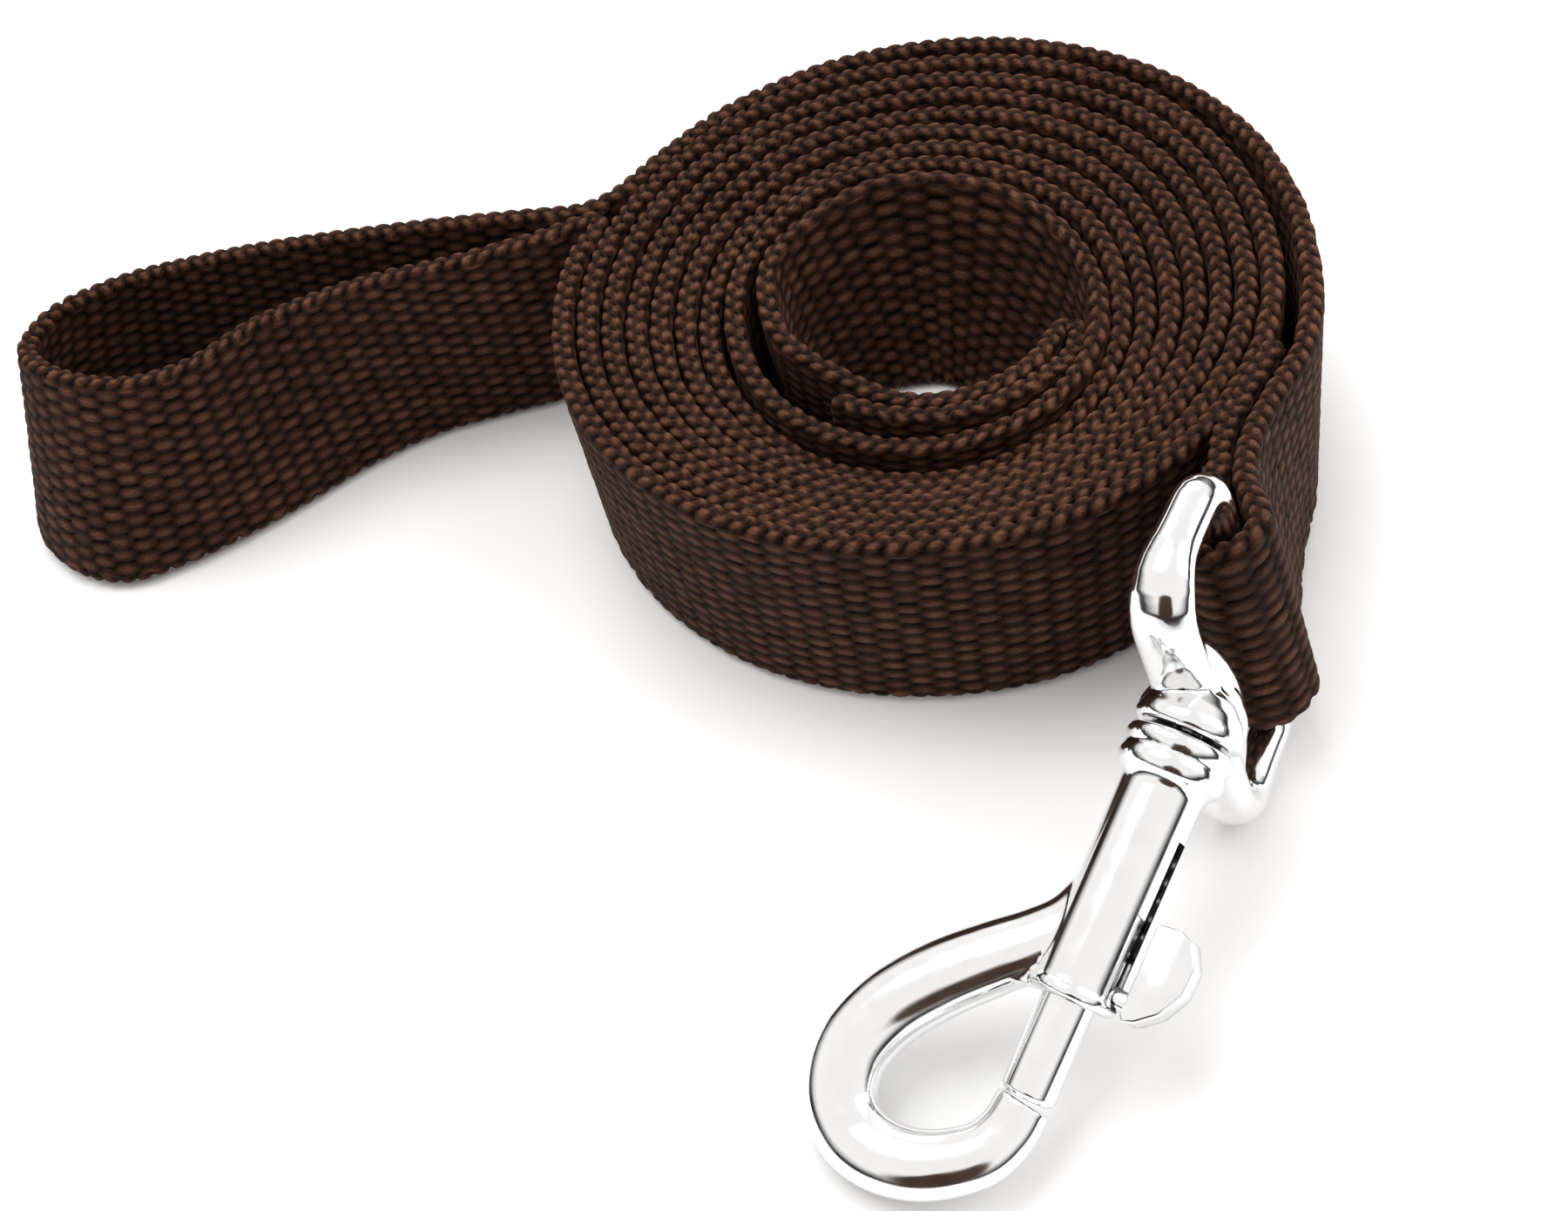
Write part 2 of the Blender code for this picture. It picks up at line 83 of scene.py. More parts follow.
# Snap, as in the CAD model
SWIVEL = np.array([14.95, -65.5, 18.5])
EYE_HEADING, EYE_LEAN = 60.7, -13.0
BARREL_HEADING, BARREL_DROOP = -125.2, 22.5
EYE_BASE, EYE_DEPTH, EYE_HALF, EYE_WIRE, EYE_CORNER = 6.9, 13.2, 16.6, 2.15, 5.0
STRAP_RISE = -0.5
BALL_R, NECK_R = 2.7, 1.4
COLLAR_X, BARREL_END, BARREL_R, BORE_R = -3.5, 21.8, 3.8, 2.9
HOOK_R, HOOK_TIP_R, HOOK_FLATTEN = 3.05, 2.55, 0.82
BOLT_R, BOLT_REAR, BOLT_FRONT = 2.5, 16.2, 31.0
THUMB_HALF = 2.2
SPRING_R, SPRING_WIRE, SPRING_TURNS = 2.2, 0.3, 7
SPRING_SEAT, SPRING_END = 3.15, 15.6

# The direction in which a dark brown card hangs in the studio, for the polished metal to mirror
DARK_CARD = (-0.32, -0.87, 0.38)

CAMERA_AT = (0.0, -160.65, 164.1)
CAMERA_TURN = (39.073, 9.464, -2.718)


# ---------------------------------------------------------------- camera, light and floor


def make_camera():
    data = bpy.data.cameras.new("camera")
    data.lens = 44.0
    data.sensor_width = 36.0
    data.clip_start = 0.005
    data.clip_end = 20.0
    camera = bpy.data.objects.new("camera", data)
    camera.location = Vector((COIL_CENTRE + np.array(CAMERA_AT)) * MM)
    camera.rotation_euler = [math.radians(a) for a in CAMERA_TURN]
    bpy.context.scene.collection.objects.link(camera)
    bpy.context.scene.camera = camera


def area_light(name, at, size, power, colour=(1, 1, 1)):
    data = bpy.data.lights.new(name, "AREA")
    data.shape = "RECTANGLE"
    data.size, data.size_y = size
    data.energy = power
    data.color = colour
    light = bpy.data.objects.new(name, data)
    light.location = at
    aim = Vector((0, 0, 0)) - Vector(at)
    light.rotation_euler = aim.to_track_quat("-Z", "Y").to_euler()
    bpy.context.scene.collection.objects.link(light)


def make_studio():
    world = bpy.data.worlds.new("studio")
    bpy.context.scene.world = world
    world.use_nodes = True
    nodes, links = world.node_tree.nodes, world.node_tree.links
    background = nodes["Background"]
    texture = nodes.new("ShaderNodeTexCoord")
    split = nodes.new("ShaderNodeSeparateXYZ")
    ramp = nodes.new("ShaderNodeValToRGB")
    links.new(texture.outputs["Generated"], split.inputs[0])
    links.new(split.outputs["Z"], ramp.inputs[0])
    toward = nodes.new("ShaderNodeVectorMath")
    toward.operation = "DOT_PRODUCT"
    toward.inputs[1].default_value = DARK_CARD
    links.new(texture.outputs["Generated"], toward.inputs[0])
    card = nodes.new("ShaderNodeMapRange")
    card.inputs["From Min"].default_value = 0.93
    card.inputs["From Max"].default_value = 0.96
    links.new(toward.outputs["Value"], card.inputs[0])
    sky = nodes.new("ShaderNodeMix")
    sky.data_type = "RGBA"
    sky.inputs[7].default_value = (0.06, 0.035, 0.025, 1)
    links.new(card.outputs[0], sky.inputs[0])
    links.new(ramp.outputs[0], sky.inputs[6])
    seen = nodes.new("ShaderNodeMix")
    seen.data_type = "RGBA"
    seen.inputs[7].default_value = (1, 1, 1, 1)
    links.new(nodes.new("ShaderNodeLightPath").outputs["Is Camera Ray"], seen.inputs[0])
    links.new(sky.outputs[2], seen.inputs[6])
    links.new(seen.outputs[2], background.inputs[0])
    stops = ramp.color_ramp.elements
    for at, grey in ((0.0, 0.02), (0.12, 0.03), (0.24, 0.5), (0.4, 1.0), (1.0, 0.95)):
        stop = stops[0] if at == 0 else stops[-1] if at == 1 else stops.new(at)
        stop.position = at
        stop.color = (grey, grey * 0.985, grey * 0.97, 1)
    background.inputs[1].default_value = 1.02
    area_light("key", (-0.12, 0.16, 0.66), (0.5, 0.4), 2.3)
    area_light("side", (0.55, 0.0, 0.4), (0.3, 0.5), 1.0)
    area_light("back", (0.1, 0.6, 0.4), (0.6, 0.3), 1.2)

    mesh = bpy.data.meshes.new("floor")
    s = 1.6
    mesh.from_pydata([(-s, -s, 0), (s, -s, 0), (s, s, 0), (-s, s, 0)], [], [(0, 1, 2, 3)])
    floor = bpy.data.objects.new("floor", mesh)
    floor.location.z = cad_box[0].z - 0.0002
    bpy.context.scene.collection.objects.link(floor)
    mat = bpy.data.materials.new("pale_floor")
    mat.use_nodes = True
    shader = mat.node_tree.nodes["Principled BSDF"]
    shader.inputs["Base Color"].default_value = (0.93, 0.93, 0.93, 1)
    shader.inputs["Roughness"].default_value = 0.9
    mesh.materials.append(mat)
    bpy.context.scene.view_settings.view_transform = "Standard"


# ---------------------------------------------------------------- materials


def new_material(name):
    mat = bpy.data.materials.new(name)
    mat.use_nodes = True
    tree = mat.node_tree
    return mat, tree, tree.nodes["Principled BSDF"]


def add(tree, kind, **inputs):
    node = tree.nodes.new(kind)
    for key, value in inputs.items():
        socket = node.inputs[int(key[1:])] if key[0] == "i" and key[1:].isdigit() else node.inputs[key]
        if isinstance(value, bpy.types.NodeSocket):
            tree.links.new(value, socket)
        else:
            socket.default_value = value
    return node


def ramp(tree, source, stops):
    node = tree.nodes.new("ShaderNodeValToRGB")
    tree.links.new(source, node.inputs[0])
    elements = node.color_ramp.elements
    while len(elements) < len(stops):
        elements.new(0.5)
    for element, (at, colour) in zip(elements, stops):
        element.position = at
        element.color = (*colour, 1)
    return node.outputs[0]


def webbing_material():
    """Brown nylon with fine filaments along the floats, and painted shade and light by the weave's height:
    darker between the floats, paler on their crowns.
    """
    mat, tree, shader = new_material("brown_webbing")
    relief = tree.nodes.new("ShaderNodeAttribute")
    relief.attribute_name = "relief"
    strap = tree.nodes.new("ShaderNodeAttribute")
    strap.attribute_name = "strap_mm"
    # painted shade: the colour darkens into the valleys between the floats and into the selvedge's holes,
    # and pales on the crowns, by the relief's height
    brown = ramp(
        tree,
        relief.outputs["Fac"],
        [(0.0, (0.0008, 0.0003, 0.0001)), (0.42, (0.0075, 0.0026, 0.0013)), (0.78, (0.046, 0.0186, 0.0098)),
         (1.0, (0.142, 0.064, 0.038))],
    )
    coords = tree.nodes.new("ShaderNodeTexCoord")
    patches = add(tree, "ShaderNodeTexNoise", Vector=coords.outputs["Object"], Scale=45.0, Detail=3.0)
    uneven = ramp(tree, patches.outputs[0], [(0.3, (0.8, 0.78, 0.77)), (0.7, (1.15, 1.13, 1.1))])
    tint = tree.nodes.new("ShaderNodeMix")
    tint.data_type = "RGBA"
    tint.blend_type = "MULTIPLY"
    tint.inputs[0].default_value = 1.0
    tree.links.new(brown, tint.inputs[6])
    tree.links.new(uneven, tint.inputs[7])
    stretch = add(tree, "ShaderNodeMapping", Vector=strap.outputs["Vector"])
    stretch.inputs["Scale"].default_value = (1.8, 6.0, 5.0)
    filaments = add(
        tree, "ShaderNodeTexNoise", Vector=stretch.outputs[0], Scale=1.0, Detail=4.0, Roughness=0.6
    )
    thread_tint = ramp(tree, filaments.outputs[0], [(0.32, (0.5, 0.48, 0.46)), (0.68, (1.4, 1.38, 1.35))])
    fine = tree.nodes.new("ShaderNodeMix")
    fine.data_type = "RGBA"
    fine.blend_type = "MULTIPLY"
    fine.inputs[0].default_value = 1.0
    tree.links.new(tint.outputs[2], fine.inputs[6])
    tree.links.new(thread_tint, fine.inputs[7])
    bump = add(tree, "ShaderNodeBump", Height=filaments.outputs[0], Strength=0.7, Distance=0.00025)
    # painted shade: the faces are painted darker than the selvedges, for the light from above falling more
    # on the edges than on the faces
    place = add(tree, "ShaderNodeSeparateXYZ", Vector=strap.outputs["Vector"])
    centred = add(tree, "ShaderNodeMath", i0=place.outputs["Y"], i1=WIDTH / 2)
    centred.operation = "SUBTRACT"
    outward = add(tree, "ShaderNodeMath", i0=centred.outputs[0])
    outward.operation = "ABSOLUTE"
    edge = add(tree, "ShaderNodeMapRange", Value=outward.outputs[0])
    edge.inputs["From Min"].default_value = WIDTH / 2 - 1.3
    edge.inputs["From Max"].default_value = WIDTH / 2 - 0.5
    painted_face_shade = ramp(tree, edge.outputs[0], [(0.0, (0.82, 0.82, 0.84)), (1.0, (1.0, 1.0, 1.0))])
    with_painted_face_shade = tree.nodes.new("ShaderNodeMix")
    with_painted_face_shade.data_type = "RGBA"
    with_painted_face_shade.blend_type = "MULTIPLY"
    with_painted_face_shade.inputs[0].default_value = 1.0
    tree.links.new(fine.outputs[2], with_painted_face_shade.inputs[6])
    tree.links.new(painted_face_shade, with_painted_face_shade.inputs[7])
    tree.links.new(with_painted_face_shade.outputs[2], shader.inputs["Base Color"])
    tree.links.new(bump.outputs[0], shader.inputs["Normal"])
    shader.inputs["Roughness"].default_value = 0.7
    shader.inputs["Sheen Weight"].default_value = 0.03
    shader.inputs["Sheen Roughness"].default_value = 0.4
    shader.inputs["Sheen Tint"].default_value = (1.0, 0.75, 0.6, 1)
    shader.inputs["Specular IOR Level"].default_value = 0.08
    return mat


def metal_material(name, colour, low, high, bump_depth):
    """Plated metal: slightly uneven polish, and the soft ripple of a small casting."""
    mat, tree, shader = new_material(name)
    coords = tree.nodes.new("ShaderNodeTexCoord")
    polish = add(tree, "ShaderNodeTexNoise", Vector=coords.outputs["Object"], Scale=420.0, Detail=5.0)
    rough = ramp(tree, polish.outputs[0], [(0.3, (low,) * 3), (0.75, (high,) * 3)])
    tree.links.new(rough, shader.inputs["Roughness"])
    shade = ramp(tree, polish.outputs[0], [(0.2, tuple(c * 0.93 for c in colour)), (0.8, colour)])
    tree.links.new(shade, shader.inputs["Base Color"])
    ripple = add(tree, "ShaderNodeTexNoise", Vector=coords.outputs["Object"], Scale=260.0, Detail=2.0)
    bump = add(tree, "ShaderNodeBump", Height=ripple.outputs[0], Strength=0.25, Distance=bump_depth)
    tree.links.new(bump.outputs[0], shader.inputs["Normal"])
    shader.inputs["Metallic"].default_value = 1.0
    return mat


def thread_material():
    mat, tree, shader = new_material("sewing_thread")
    coords = tree.nodes.new("ShaderNodeTexCoord")
    twist = add(tree, "ShaderNodeTexWave", Vector=coords.outputs["Object"], Scale=900.0, Distortion=1.0)
    colour = ramp(tree, twist.outputs[1], [(0.2, (0.022, 0.010, 0.007)), (0.8, (0.08, 0.04, 0.028))])
    tree.links.new(colour, shader.inputs["Base Color"])
    bump = add(tree, "ShaderNodeBump", Height=twist.outputs[1], Strength=0.5, Distance=0.0001)
    tree.links.new(bump.outputs[0], shader.inputs["Normal"])
    shader.inputs["Roughness"].default_value = 0.5
    return mat


# ---------------------------------------------------------------- the strap's path


def catmull(points, per_span):
    """Points on a Catmull-Rom curve through the given points."""
    p = np.asarray(points, float)
    p = np.vstack([2 * p[0] - p[1], p, 2 * p[-1] - p[-2]])
    t = np.linspace(0, 1, per_span, endpoint=False)[:, None]
    spans = []
    for a, b, c, d in zip(p[:-3], p[1:-2], p[2:-1], p[3:]):
        spans.append(
            0.5 * (2 * b + (c - a) * t + (2 * a - 5 * b + 4 * c - d) * t**2 + (3 * b - a - 3 * c + d) * t**3)
        )
    return np.vstack([*spans, p[-2:-1]])


def with_z(points, z):
    return [(x, y, z) for x, y in points]


def polar(theta, radius):
    return radius * math.cos(math.radians(theta)), radius * math.sin(math.radians(theta))


def frame_matrix(heading, droop, roll):
    """Columns are the frame's X, Y and Z: X points along the heading, drooped, and rolled about itself."""
    turn = Matrix.Rotation(math.radians(heading), 3, "Z") @ Matrix.Rotation(math.radians(droop), 3, "Y")
    return np.array(turn @ Matrix.Rotation(math.radians(roll), 3, "X"))


EYE_FRAME = frame_matrix(EYE_HEADING, 0.0, EYE_LEAN)
SNAP_FRAME = frame_matrix(BARREL_HEADING, BARREL_DROOP, 0.0)
BAR_AT = SWIVEL + EYE_FRAME[:, 0] * (EYE_BASE + EYE_DEPTH)


def snap_end_rails():
    """Tail tip, round the eye's bar, and along the outer layer to where the strap meets the coil."""
    low = [(40.2, -4, 0.4), (39.3, -12.7, 0.4), (37.2, -21.6, 0.8)]
    low += [(34.4, -29.4, 2.2), (32.4, -36.8, 3.8), (31.2, -43.6, 5.6)]
    high = [(39.9, -4, 25), (39, -12.3, 25), (36.2, -20.8, 25)]
    high += [(32, -27.2, 25.8), (28.4, -33.6, 27), (26.4, -40, 28.5)]
    low, high = np.array(low), np.array(high)
    up, ahead = EYE_FRAME[:, 2], -EYE_FRAME[:, 0]
    side = np.cross(up, ahead)
    radius = EYE_WIRE + 0.3 + HALF_THICK
    inner = []
    for k in range(2, 6):
        along = low[k] + high[k] - low[k - 1] - high[k - 1]
        along /= np.linalg.norm(along)
        rise = (high[k] - low[k]) / np.linalg.norm(high[k] - low[k])
        inner.append(np.cross(along, rise) * 2.85)
    rails = []
    for edge, sign in ((low, -1), (high, 1)):
        centre = BAR_AT + up * (STRAP_RISE + sign * (WIDTH / 2 - 0.3))
        angles = [math.radians(a) for a in range(0, 181, 20)]
        bend = [centre + radius * (side * math.cos(a) + ahead * math.sin(a)) for a in angles]
        past = [end - ahead * 1.6 for end in (bend[0], bend[-1])]
        tail = [edge[k] + inner[k - 2] for k in (5, 4, 3, 2)]
        out = catmull([*edge, past[0], bend[0]], 8)
        back = catmull([bend[-1], past[1], *tail], 8)
        rails.append(np.vstack([out[:-1], catmull(bend, 4), back[1:]])[::-1])
    return rails


# The hand loop, from its sharp bend at the coil along the near strand, round the end and back. The strap's
# lower and upper edges part where the loop's end leans.
LOOP_NECK = [(-37.5, 14.4), (-36.6, 16.5), (-37.7, 17.3), (-40.2, 16.6), (-43.8, 15.5)]
LOOP_NEAR_LOW = LOOP_NECK + [(-48, 14.4), (-55, 13.3), (-63, 11.8), (-71.3, 8.2), (-79.5, 3)]
LOOP_NEAR_HIGH = LOOP_NECK + [(-48, 14.6), (-55.3, 13.4), (-63, 12.7), (-70.9, 10.9), (-78, 7.9)]
LOOP_END_LOW = [
    (-86.5, -1.2), (-94, -4.6), (-101, -6.2), (-108, -2.9), (-113.2, 4), (-112.5, 13), (-103, 19.6),
]
LOOP_END_HIGH = [
    (-84, 3.4), (-90.8, 1.7), (-97.5, 3.4), (-103.5, 7.2), (-105.7, 11.5), (-102.8, 16.8), (-95, 20.2),
]
LOOP_BACK_LOW = [(-92, 21.3), (-80, 21.8), (-67.5, 21.5), (-56, 20.8), (-46, 19.8), (-39.3, 19.2)]
LOOP_BACK_HIGH = [(-87, 21.4), (-78, 21.9), (-66.9, 21.6), (-56, 20.9), (-46, 19.9), (-39.3, 19.2)]

# The outermost layer on the right and at the back: angle about the coil's centre and radius
OUTER_LAYER = [
    (3, 39.85), (20, 39.75), (40, 39.7), (60, 39.7), (80, 39.7), (100, 39.6), (120, 39.35), (136, 39.3),
]
# Where it swings out from the coil to the hand loop's back strand
BEND_OUT = [(-32.7, 22.7), (-35.6, 20.3)]

# First turn of the winding: angle, radius, and how far apart the turns are there
TURN_AT = [155, 185, 230, 265, 285, 300, 335, 360, 400, 420, 450, 480, 515]
TURN_RADIUS = [40.8, 40.75, 39.9, 39.5, 39.5, 39.0, 37.4, 36.1, 36.3, 36.6, 36.7, 37.3, 38.15]
TURN_PITCH = [2.65, 2.62, 2.6, 2.58, 2.6, 2.6, 2.62, 2.66, 2.85, 2.92, 2.8, 2.7, 2.65]
# The eighth and ninth turns leave the pack at the front
EIGHTH_AT = [155, 228, 265, 300, 335, 360, 420, 450, 480, 515]
EIGHTH_RADIUS = [22.25, 21.4, 20.9, 20.9, 19.4, 17.3, 15.8, 16.9, 17.8, 19.2]
NINTH_AT = [155, 185, 228, 265, 300, 335]
NINTH_RADIUS = [19.2, 17.6, 14.7, 15.4, 15.6, 14.4]
# How much lower each turn's top edge lies than the one outside it
DROP_AT = [155, 200, 235, 265, 300, 335, 360, 400, 450, 480, 515]
DROP = [0.6, 1.0, 1.3, 1.37, 1.25, 0.9, 0.6, 0.42, 0.32, 0.38, 0.6]


def smooth_table(x, xs, ys):
    """Smooth curve through a table's points."""
    xs, ys = np.asarray(xs, float), np.asarray(ys, float)
    slopes = np.gradient(ys, xs)
    i = np.clip(np.searchsorted(xs, x, side="right") - 1, 0, len(xs) - 2)
    w = xs[i + 1] - xs[i]
    t = np.clip((x - xs[i]) / w, 0, 1)
    return (
        (2 * t**3 - 3 * t**2 + 1) * ys[i]
        + (t**3 - 2 * t**2 + t) * w * slopes[i]
        + (3 * t**2 - 2 * t**3) * ys[i + 1]
        + (t**3 - t**2) * w * slopes[i + 1]
    )


def inner_end_sink(theta):
    """How much the innermost end dips towards its fold, at theta degrees round the ninth turn."""
    return 3.2 * np.clip((theta - 296) / 37, 0, 1) ** 1.5


def winding_rails():
    """The coil from where the near strand of the hand loop joins it to the folded inner end."""
    last = 8 * 360 + 333
    phi = np.arange(163.0, last, 1.5)
    turns = (phi - 155) / 360
    k = np.floor(turns)
    at = phi - 360 * k
    radius = smooth_table(at, TURN_AT, TURN_RADIUS) - k * smooth_table(at, TURN_AT, TURN_PITCH)
    radius -= 0.35 * (k >= 1) * np.exp(-(((at - 288) / 12) ** 2))
    radius = np.where(k == 7, smooth_table(at, EIGHTH_AT, EIGHTH_RADIUS), radius)
    radius = np.where(k == 8, smooth_table(np.minimum(at, 335), NINTH_AT, NINTH_RADIUS), radius)
    kernel = np.hanning(15) / np.hanning(15).sum()
    radius = np.convolve(np.pad(radius, 7, mode="edge"), kernel, mode="valid")
    ease = np.clip((turns - 6.2) / 1.6, 0, 1)
    drop = smooth_table(at, DROP_AT, DROP) * np.minimum(turns, 6.3) * (1 - 0.38 * ease)
    top = WIDTH - drop - inner_end_sink(phi - 8 * 360)
    wobble = 0.12 * np.sin(phi * 0.11) + 0.09 * np.sin(phi * 0.043 + 1.0)
    top += wobble * np.clip(turns, 0, 1)
    x, y = radius * np.cos(np.radians(phi)), radius * np.sin(np.radians(phi))
    # the last full turn stands with its foot pushed inwards, and the pack behind it bears on its top
    lean = 9.8 * np.exp(-(((turns - 7.785) / 0.24) ** 4))
    foot = (radius - lean) / radius
    low = np.stack([x * foot, y * foot, np.full_like(x, FOOT)], 1)
    high = np.stack([x, y, top], 1)
    # the fold at the inner end, and the short length that returns on its outer side
    end_low, end_high = [], []
    r0 = NINTH_RADIUS[-1]
    for angle in range(20, 181, 20):
        a = math.radians(angle)
        px, py = polar(333 + math.degrees(1.4 * math.sin(a) / r0), r0 + 1.4 * (1 - math.cos(a)))
        end_low.append((px, py, 0.4))
        end_high.append((px, py, top[-1]))
    for theta in range(325, 228, -8):
        r = float(smooth_table(np.array([float(theta)]), NINTH_AT, NINTH_RADIUS)[0]) + 2.75
        px, py = polar(theta, r)
        end_low.append((px, py, 0.4))
        dip = float(inner_end_sink(theta) - inner_end_sink(333))
        end_high.append((px, py, top[-1] - dip - 0.7 - 0.012 * (325 - theta)))
    return (
        np.vstack([low, catmull(np.vstack([low[-1:], end_low]), 4)[1:]]),
        np.vstack([high, catmull(np.vstack([high[-1:], end_high]), 4)[1:]]),
    )


def resample(low, high, step):
    """Both rails at equal steps of the length of the line midway between them."""
    middle = (low + high) / 2
    run = np.concatenate([[0], np.cumsum(np.linalg.norm(np.diff(middle, axis=0), axis=1))])
    keep = np.concatenate([[True], np.diff(run) > 1e-6])
    run, low, high = run[keep], low[keep], high[keep]
    at = np.linspace(0, run[-1], int(round(run[-1] / step)) + 1)
    return [np.stack([np.interp(at, run, rail[:, i]) for i in range(3)], 1) for rail in (low, high)] + [at]


def whole_strap():
    """Both edges of the strap from end to end, and the length along it at each pair of points."""
    snap_low, snap_high = snap_end_rails()
    outer = [polar(theta, radius) for theta, radius in OUTER_LAYER] + BEND_OUT
    low = with_z(outer, FOOT)
    low += with_z(LOOP_BACK_LOW[::-1] + LOOP_END_LOW[::-1], LOOP_FOOT) + with_z(LOOP_NEAR_LOW[::-1], 0.5)
    high = with_z(outer, WIDTH) + with_z(LOOP_BACK_HIGH[::-1] + LOOP_END_HIGH[::-1], WIDTH - 0.1)
    high += with_z(LOOP_NEAR_HIGH[::-1], WIDTH - 0.05)
    loop_low = catmull(np.vstack([snap_low[-1:], low]), 10)
    loop_high = catmull(np.vstack([snap_high[-1:], high]), 10)
    wind_low, wind_high = winding_rails()
    low = np.vstack([snap_low[:-1], loop_low, wind_low])
    high = np.vstack([snap_high[:-1], loop_high, wind_high])
    smooth = np.array([0.25, 0.5, 0.25])
    low, high, at = resample(low, high, STEP)
    for _ in range(6):
        for rail in (low, high):
            for i in range(3):
                rail[1:-1, i] = np.convolve(rail[:, i], smooth, mode="valid")
    return low, high, at


# ---------------------------------------------------------------- the webbing's weave


def hashed(a, b):
    value = np.sin(a * 12.9898 + b * 78.233) * 43758.5453
    return value - np.floor(value)


def float_relief(u, v):
    """Height, from 0 to 1, of the staggered warp floats at u along and v across the strap."""
    best = np.zeros_like(u)
    column = np.round(u / COLUMN)
    for dc in (-1, 0, 1):
        c = column + dc
        shift = np.where(np.mod(c, 2) == 0, 0.0, 0.5)
        row = np.round(v / ROW - shift)
        for dr in (-1, 0, 1):
            r = row + dr
            odd = hashed(c, r)
            du = (u - c * COLUMN - 0.25 * (odd - 0.5)) / (COLUMN * 0.64)
            dv = (v - (r + shift) * ROW - 0.12 * (hashed(r, c) - 0.5)) / (ROW * (0.5 + 0.05 * odd))
            inside = np.clip(1 - np.abs(du) ** 2.6 - np.abs(dv) ** 2.1, 0, 1)
            best = np.maximum(best, np.sqrt(inside) * (0.86 + 0.14 * hashed(c + 7, r)))
    return best


def edge_relief(u, n):
    """Height, from 0 to 1, of the selvedge's two rows of slanting loops, with deep holes between them."""
    best = np.zeros_like(u)
    for side in (-1, 1):
        place = u / EDGE_PITCH - 0.25 * side
        nearest = np.round(place)
        for d in (-1, 0, 1):
            i = nearest + d
            du = (place - i) * EDGE_PITCH
            dn = n - side * 0.52
            slant = du + side * 0.75 * dn
            size = 0.94 + 0.12 * hashed(i, side)
            inside = np.clip(1 - (slant / (0.98 * size)) ** 2 - (dn / (0.66 * size)) ** 2, 0, 1)
            best = np.maximum(best, np.sqrt(inside))
    return best


def section(out_rows, in_rows, top_points, bottom_points):
    """The strap's outline across: distance up from its lower edge, offset outwards, and which way is out."""
    base = HALF_THICK - FLOAT_RISE
    pts = [(v, base, 0.0, 1.0) for v in out_rows]
    for a in np.linspace(0, math.pi, top_points + 2)[1:-1]:
        rise = EDGE_ROUND * math.sin(a) * EDGE_CROWN
        pts.append((WIDTH - EDGE_ROUND + rise, base * math.cos(a), math.sin(a), math.cos(a)))
    pts += [(v, -base, 0.0, -1.0) for v in in_rows[::-1]]
    for a in np.linspace(math.pi, math.tau, bottom_points + 2)[1:-1]:
        rise = EDGE_ROUND * math.sin(a) * EDGE_CROWN
        pts.append((EDGE_ROUND + rise, base * math.cos(a), math.sin(a), math.cos(a)))
    return np.array(pts)


def rows(step_low, split=None, step_high=None):
    """Heights across a face: coarse below the split and fine above it."""
    low, high = EDGE_ROUND, WIDTH - EDGE_ROUND
    if split is None:
        return list(np.linspace(low, high, int(round((high - low) / step_low)) + 1))
    coarse = np.linspace(low, split, max(2, int(round((split - low) / step_low)) + 1))
    fine = np.linspace(split, high, int(round((high - split) / step_high)) + 1)
    return list(coarse) + list(fine[1:])


def band(name, low, high, at, outline, mat):
    """A closed length of webbing along two rails, with its weave as real relief."""
    middle = (low + high) / 2
    along = np.gradient(middle, axis=0)
    along /= np.linalg.norm(along, axis=1)[:, None]
    up = high - low
    width = np.linalg.norm(up, axis=1)
    up /= width[:, None]
    out = np.cross(along, up)
    out /= np.linalg.norm(out, axis=1)[:, None]
    v, n, ov, on = outline.T
    u_grid = np.repeat(at[:, None], len(v), 1)
    v_grid = np.repeat(v[None, :], len(at), 0)
    n_grid = np.repeat(n[None, :], len(at), 0)
    edge = np.abs(ov) ** 0.7
    faces_h = float_relief(u_grid, v_grid)
    edges_h = edge_relief(u_grid, n_grid * 1.25)
    relief = faces_h * (1 - edge) + edges_h * edge
    rise = FLOAT_RISE * faces_h * (1 - edge) + EDGE_RISE * edges_h * edge
    across = (v_grid + rise * ov) / WIDTH
    depth = n_grid + rise * on
    points = (
        low[:, None, :]
        + up[:, None, :] * (across * width[:, None])[..., None]
        + out[:, None, :] * depth[..., None]
    )
    count, k = len(at), len(v)
    index = np.arange(count * k).reshape(count, k)
    a, b = index[:-1], index[1:]
    quads = np.stack([a, b, np.roll(b, -1, 1), np.roll(a, -1, 1)], -1).reshape(-1, 4)
    faces = quads.tolist() + [index[0].tolist(), index[-1][::-1].tolist()]
    mesh = bpy.data.meshes.new(name)
    mesh.from_pydata(((points.reshape(-1, 3) + COIL_CENTRE) * MM).tolist(), [], faces)
    mesh.update()
    # the relief is also kept for the material, where it sets the painted shade between the floats
    value = mesh.attributes.new("relief", "FLOAT", "POINT")
    value.data.foreach_set("value", relief.astype(np.float32).ravel())
    place = mesh.attributes.new("strap_mm", "FLOAT_VECTOR", "POINT")
    coords = np.stack([u_grid, v_grid, n_grid], -1).astype(np.float32)
    place.data.foreach_set("vector", coords.ravel())
    bm = bmesh.new()
    bm.from_mesh(mesh)
    bmesh.ops.recalc_face_normals(bm, faces=bm.faces)
    bm.to_mesh(mesh)
    bm.free()
    mesh.shade_smooth()
    mesh.materials.append(mat)
    obj = bpy.data.objects.new(name, mesh)
    bpy.context.scene.collection.objects.link(obj)
    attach(obj, "webbing")
    return obj


